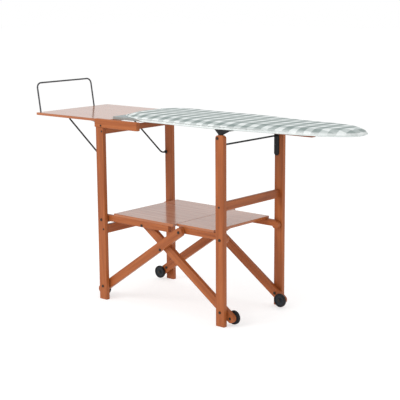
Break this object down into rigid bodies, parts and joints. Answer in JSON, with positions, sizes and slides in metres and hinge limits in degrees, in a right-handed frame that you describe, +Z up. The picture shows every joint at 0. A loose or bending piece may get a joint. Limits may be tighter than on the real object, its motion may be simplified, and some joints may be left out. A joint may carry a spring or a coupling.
{
  "type": "ironing board",
  "caption": "Folding wooden ironing board with a padded fabric-covered top, a clothes shelf, an iron flap with a wire guard, and wheels.",
  "frame": {"origin": "on the floor, under the middle of the overall length and width", "axes": "+X towards the nose of the board, -X towards the iron flap, +Z up, front is -Y"},
  "size_m": [1.796, 0.511, 1.028],
  "materials": {
    "beech_stained": "satin stained beech",
    "laminate_wood": "glossy wood-grain laminate",
    "grey_laminate": "light grey laminate",
    "felt": "white felt",
    "cover_fabric": "cotton with a woven grey-green and white check",
    "black_steel": "black",
    "black_paint": "black powder coat",
    "grey_steel": "zinc plated",
    "black_plastic": "matt",
    "wheel_plastic": "matt"
  },
  "bodies": {
    "frame_left": {"left_leg_front": "beech_stained", "left_leg_rear": "beech_stained", "left_lower_rail": "beech_stained", "left_upper_rail": "beech_stained", "top_beam_front": "beech_stained", "top_beam_rear": "beech_stained", "left_pivot_bolts": "black_steel", "left_washers": "black_plastic", "frame_screws": "black_steel", "brace_sockets": "black_plastic"},
    "arms_left": {"long_arm_left_front": "beech_stained", "long_arm_left_rear": "beech_stained", "cross_bolts": "black_steel", "left_wheel_axles": "black_steel"},
    "arms_right": {"long_arm_right_front": "beech_stained", "long_arm_right_rear": "beech_stained", "right_wheel_axles": "black_steel"},
    "frame_right": {"right_leg_front": "beech_stained", "right_leg_rear": "beech_stained", "right_crossbar": "beech_stained", "right_pivot_bolts": "black_steel", "right_washers": "black_plastic"},
    "shelf_left": {"shelf_panel_left": "laminate_wood", "shelf_rail_left_front": "beech_stained", "shelf_rail_left_rear": "beech_stained", "shelf_bolts": "black_steel"},
    "shelf_right": {"shelf_panel_right": "laminate_wood", "shelf_rail_right_front": "beech_stained", "shelf_rail_right_rear": "beech_stained"},
    "board": {"base_plate": "grey_laminate", "felt_pad": "felt", "cover": "cover_fabric", "tie_rod": "black_paint", "batten_front": "beech_stained", "batten_rear": "beech_stained", "hinge_strap_front": "black_paint", "hinge_strap_rear": "black_paint"},
    "flap": {"iron_flap": "laminate_wood", "guard_wire": "black_paint", "flap_bracket_front": "grey_steel", "flap_bracket_rear": "grey_steel"},
    "brace": {"brace_wire": "black_paint"},
    "wheel_left_front_body": {"wheel_left_front": "wheel_plastic"},
    "wheel_left_rear_body": {"wheel_left_rear": "wheel_plastic"},
    "wheel_right_front_body": {"wheel_right_front": "wheel_plastic"},
    "wheel_right_rear_body": {"wheel_right_rear": "wheel_plastic"}
  },
  "joints": [
    {"name": "frame_fold", "type": "hinge", "parent": "frame_left", "child": "arms_left", "pos_m": [-0.4085, 0, 0.065], "axis": [0, -1, 0], "range_deg": [0, 41]},
    {"name": "scissor_cross", "type": "hinge", "parent": "arms_left", "child": "arms_right", "pos_m": [-0.0495, 0, 0.297], "axis": [0, -1, 0], "range_deg": [-82, 0]},
    {"name": "right_frame_foot", "type": "hinge", "parent": "arms_right", "child": "frame_right", "pos_m": [0.3095, 0, 0.065], "axis": [0, -1, 0], "range_deg": [0, 41]},
    {"name": "shelf_left_fold", "type": "hinge", "parent": "arms_right", "child": "shelf_left", "pos_m": [-0.165, 0, 0.396], "axis": [0, -1, 0], "range_deg": [0, 108.24]},
    {"name": "shelf_right_fold", "type": "hinge", "parent": "arms_left", "child": "shelf_right", "pos_m": [0.066, 0, 0.396], "axis": [0, -1, 0], "range_deg": [-108.24, 0]},
    {"name": "board_tip", "type": "hinge", "parent": "frame_right", "child": "board", "pos_m": [0.299, 0, 0.848], "axis": [0, 1, 0], "range_deg": [0, 90]},
    {"name": "brace_swing", "type": "hinge", "parent": "frame_left", "child": "brace", "pos_m": [-0.4245, 0, 0.668], "axis": [0, -1, 0], "range_deg": [0, 129]},
    {"name": "flap_fold", "type": "hinge", "parent": "frame_left", "child": "flap", "pos_m": [-0.4205, 0, 0.851], "axis": [0, -1, 0], "range_deg": [0, 88]},
    {"name": "wheel_left_front_spin", "type": "hinge", "parent": "arms_left", "child": "wheel_left_front_body", "pos_m": [-0.4465, 0, 0.038], "axis": [0, 1, 0], "continuous": true},
    {"name": "wheel_left_rear_spin", "type": "hinge", "parent": "arms_left", "child": "wheel_left_rear_body", "pos_m": [-0.4465, 0, 0.038], "axis": [0, 1, 0], "continuous": true},
    {"name": "wheel_right_front_spin", "type": "hinge", "parent": "arms_right", "child": "wheel_right_front_body", "pos_m": [0.3475, 0, 0.038], "axis": [0, 1, 0], "continuous": true},
    {"name": "wheel_right_rear_spin", "type": "hinge", "parent": "arms_right", "child": "wheel_right_rear_body", "pos_m": [0.3475, 0, 0.038], "axis": [0, 1, 0], "continuous": true}
  ],
  "couplings": [
    {"joint": "scissor_cross", "follows": "frame_fold", "ratio": -2},
    {"joint": "right_frame_foot", "follows": "frame_fold", "ratio": 1},
    {"joint": "shelf_left_fold", "follows": "frame_fold", "ratio": 2.6401},
    {"joint": "shelf_right_fold", "follows": "frame_fold", "ratio": -2.6401},
    {"joint": "board_tip", "follows": "frame_fold", "ratio": 2.1951},
    {"joint": "flap_fold", "follows": "brace_swing", "ratio": 0.6822}
  ]
}
